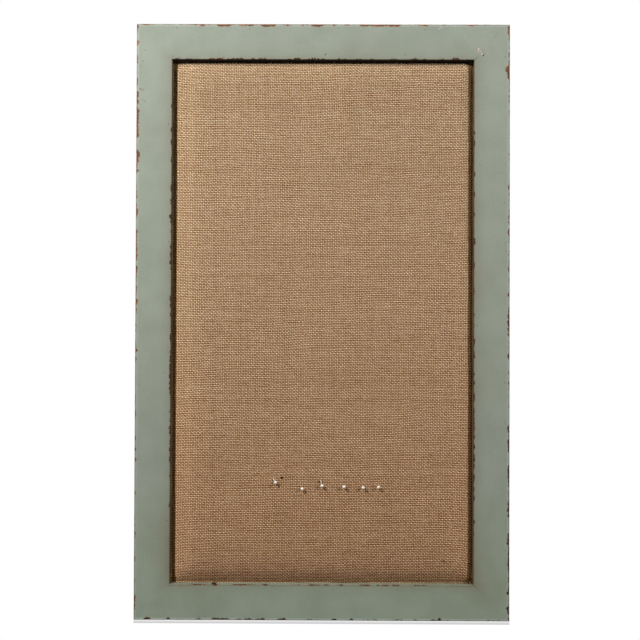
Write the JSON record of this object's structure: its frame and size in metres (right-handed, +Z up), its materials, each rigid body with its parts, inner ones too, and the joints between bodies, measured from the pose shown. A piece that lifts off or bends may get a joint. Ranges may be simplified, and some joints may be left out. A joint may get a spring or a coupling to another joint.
{
  "type": "bulletin board",
  "caption": "Upright padded bulletin board: coarse linen over a soft core in a flat mitred wood frame with worn sage paint, ball-head pins in the cloth and D-ring hangers on the back.",
  "frame": {"origin": "middle of the board's width and height, on the plane of the wall that the bumpers touch", "axes": "+X to the viewer's right, +Y from the viewer into the wall, +Z up; the face looks along -Y"},
  "size_m": [0.51, 0.0437, 0.812],
  "materials": {
    "painted_wood": "satin sage-green paint, rubbed through to red-brown along the edges",
    "linen": "coarse natural plain weave",
    "wadding": "soft off-white wadding",
    "fibreboard": "matt soft fibreboard",
    "hardboard": "dark brown hardboard, smooth side out",
    "zinc_steel": "zinc-plated steel",
    "needle_steel": "polished steel wire",
    "white_plastic": "glossy white",
    "rubber": "matt black rubber"
  },
  "bodies": {
    "board": {"top_rail": "painted_wood", "bottom_rail": "painted_wood", "left_stile": "painted_wood", "right_stile": "painted_wood", "linen_cover": "linen", "padding": "wadding", "core_board": "fibreboard", "back_panel": "hardboard", "top_rail_point_1": "zinc_steel", "top_rail_point_2": "zinc_steel", "bottom_rail_point_1": "zinc_steel", "bottom_rail_point_2": "zinc_steel", "left_stile_point_1": "zinc_steel", "left_stile_point_2": "zinc_steel", "left_stile_point_3": "zinc_steel", "right_stile_point_1": "zinc_steel", "right_stile_point_2": "zinc_steel", "right_stile_point_3": "zinc_steel", "corner_nail_top_right_1": "zinc_steel", "corner_nail_top_right_2": "zinc_steel", "corner_nail_top_left_1": "zinc_steel", "corner_nail_top_left_2": "zinc_steel", "corner_nail_bottom_left_1": "zinc_steel", "corner_nail_bottom_left_2": "zinc_steel", "corner_nail_bottom_right_1": "zinc_steel", "corner_nail_bottom_right_2": "zinc_steel", "left_hanger_strap": "zinc_steel", "left_hanger_screw_1": "zinc_steel", "left_hanger_screw_2": "zinc_steel", "right_hanger_strap": "zinc_steel", "right_hanger_screw_1": "zinc_steel", "right_hanger_screw_2": "zinc_steel", "left_wall_bumper": "rubber", "right_wall_bumper": "rubber"},
    "left_ring": {"left_d_ring": "zinc_steel"},
    "right_ring": {"right_d_ring": "zinc_steel"},
    "pin_1": {"pin_1_head": "white_plastic", "pin_1_needle": "needle_steel"},
    "pin_2": {"pin_2_head": "white_plastic", "pin_2_needle": "needle_steel"},
    "pin_3": {"pin_3_head": "white_plastic", "pin_3_needle": "needle_steel"},
    "pin_4": {"pin_4_head": "white_plastic", "pin_4_needle": "needle_steel"},
    "pin_5": {"pin_5_head": "white_plastic", "pin_5_needle": "needle_steel"},
    "pin_6": {"pin_6_head": "white_plastic", "pin_6_needle": "needle_steel"}
  },
  "joints": [
    {"name": "left_ring_swing", "type": "hinge", "parent": "board", "child": "left_ring", "pos_m": [-0.235, -0.0026, 0.216], "axis": [-1, 0, 0], "range_deg": [0, 178]},
    {"name": "right_ring_swing", "type": "hinge", "parent": "board", "child": "right_ring", "pos_m": [0.235, -0.0026, 0.216], "axis": [-1, 0, 0], "range_deg": [0, 178]},
    {"name": "pin_1_slide", "type": "slide", "parent": "board", "child": "pin_1", "axis": [0.4355, -0.5058, -0.7446], "range_m": [-0.0023, 0.0153]},
    {"name": "pin_2_slide", "type": "slide", "parent": "board", "child": "pin_2", "axis": [0.1339, -0.8034, -0.5802], "range_m": [-0.0014, 0.0179]},
    {"name": "pin_3_slide", "type": "slide", "parent": "board", "child": "pin_3", "axis": [0.2203, -0.4958, -0.84], "range_m": [-0.0024, 0.0151]},
    {"name": "pin_4_slide", "type": "slide", "parent": "board", "child": "pin_4", "axis": [0.0555, -0.7988, -0.5991], "range_m": [-0.0015, 0.0179]},
    {"name": "pin_5_slide", "type": "slide", "parent": "board", "child": "pin_5", "axis": [-0.0414, -0.9945, -0.0967], "range_m": [-0.0012, 0.0188]},
    {"name": "pin_6_slide", "type": "slide", "parent": "board", "child": "pin_6", "axis": [-0.0276, -0.9949, -0.0967], "range_m": [-0.0012, 0.0188]}
  ]
}
